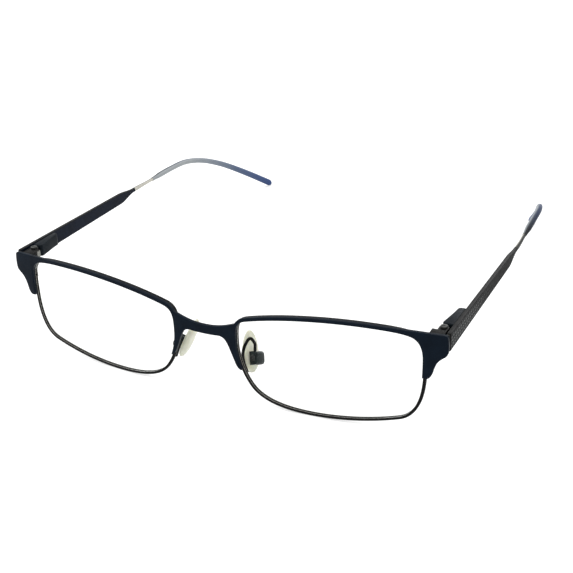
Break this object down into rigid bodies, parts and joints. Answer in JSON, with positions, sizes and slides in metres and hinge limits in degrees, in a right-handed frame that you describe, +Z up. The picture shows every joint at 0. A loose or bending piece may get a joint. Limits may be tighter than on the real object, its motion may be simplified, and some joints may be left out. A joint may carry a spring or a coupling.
{
  "type": "eyeglasses",
  "caption": "Full-rim rectangular metal eyeglasses with sprung folding temples, a slotted-screw hinge on each side, screw-on nose pads and curved plastic ear tips.",
  "frame": {"origin": "middle of the footprint, on the surface that the open glasses stand on", "axes": "+X to the wearer's left, +Y from the front towards the ear tips, +Z up"},
  "size_m": [0.1378, 0.15, 0.0312],
  "materials": {
    "front_enamel": "satin navy-black enamel on stamped metal",
    "dark_metal": "satin gunmetal plating",
    "etched_metal": "gunmetal blade, smooth inside and etched with small ovals outside",
    "screw_steel": "fine machined steel",
    "tip_plastic": "clear grey to navy plastic, glossy, the core wire shows through",
    "pad_silicone": "milky translucent silicone",
    "lens_plastic": "clear uncut demonstration lens"
  },
  "bodies": {
    "front": {"front_plate": "front_enamel", "left_rim": "dark_metal", "left_lens": "lens_plastic", "left_rim_lock_upper": "dark_metal", "left_rim_lock_lower": "dark_metal", "left_rim_lock_screw": "screw_steel", "left_pad_arm": "dark_metal", "left_pad_box": "dark_metal", "left_pad_screw": "screw_steel", "left_hinge_fork": "dark_metal", "left_hinge_screw": "screw_steel", "right_rim": "dark_metal", "right_lens": "lens_plastic", "right_rim_lock_upper": "dark_metal", "right_rim_lock_lower": "dark_metal", "right_rim_lock_screw": "screw_steel", "right_pad_arm": "dark_metal", "right_pad_box": "dark_metal", "right_pad_screw": "screw_steel", "right_hinge_fork": "dark_metal", "right_hinge_screw": "screw_steel"},
    "left_hinge_eye": {"left_hinge_slider": "screw_steel", "left_spring_stop": "screw_steel"},
    "left_temple": {"left_temple": "etched_metal", "left_temple_tip": "tip_plastic", "left_spring_housing": "dark_metal", "left_housing_bush": "screw_steel", "left_hinge_spring": "screw_steel"},
    "left_pad": {"left_nose_pad": "pad_silicone"},
    "right_hinge_eye": {"right_hinge_slider": "screw_steel", "right_spring_stop": "screw_steel"},
    "right_temple": {"right_temple": "etched_metal", "right_temple_tip": "tip_plastic", "right_spring_housing": "dark_metal", "right_housing_bush": "screw_steel", "right_hinge_spring": "screw_steel"},
    "right_pad": {"right_nose_pad": "pad_silicone"}
  },
  "joints": [
    {"name": "left_temple_fold", "type": "hinge", "parent": "front", "child": "left_hinge_eye", "pos_m": [0.0649, -0.06416, 0.02807], "axis": [0, 0.0387, 0.9992], "range_deg": [0, 88]},
    {"name": "left_temple_spring", "type": "slide", "parent": "left_hinge_eye", "child": "left_temple", "axis": [0.0166, 0.9991, -0.0387], "range_m": [0, 0.0012], "stiffness_N_per_m": 2000, "springref_m": -0.001, "deforming": ["left_hinge_spring"]},
    {"name": "left_pad_rock", "type": "hinge", "parent": "front", "child": "left_pad", "pos_m": [0.0123, -0.06792, 0.01111], "axis": [0.1991, 0.8722, -0.4468], "range_deg": [-10, 10]},
    {"name": "right_temple_fold", "type": "hinge", "parent": "front", "child": "right_hinge_eye", "pos_m": [-0.0649, -0.06416, 0.02807], "axis": [0, -0.0387, -0.9992], "range_deg": [0, 80]},
    {"name": "right_temple_spring", "type": "slide", "parent": "right_hinge_eye", "child": "right_temple", "axis": [-0.0166, 0.9991, -0.0387], "range_m": [0, 0.0012], "stiffness_N_per_m": 2000, "springref_m": -0.001, "deforming": ["right_hinge_spring"]},
    {"name": "right_pad_rock", "type": "hinge", "parent": "front", "child": "right_pad", "pos_m": [-0.0123, -0.06792, 0.01111], "axis": [-0.1991, 0.8722, -0.4468], "range_deg": [-10, 10]}
  ]
}
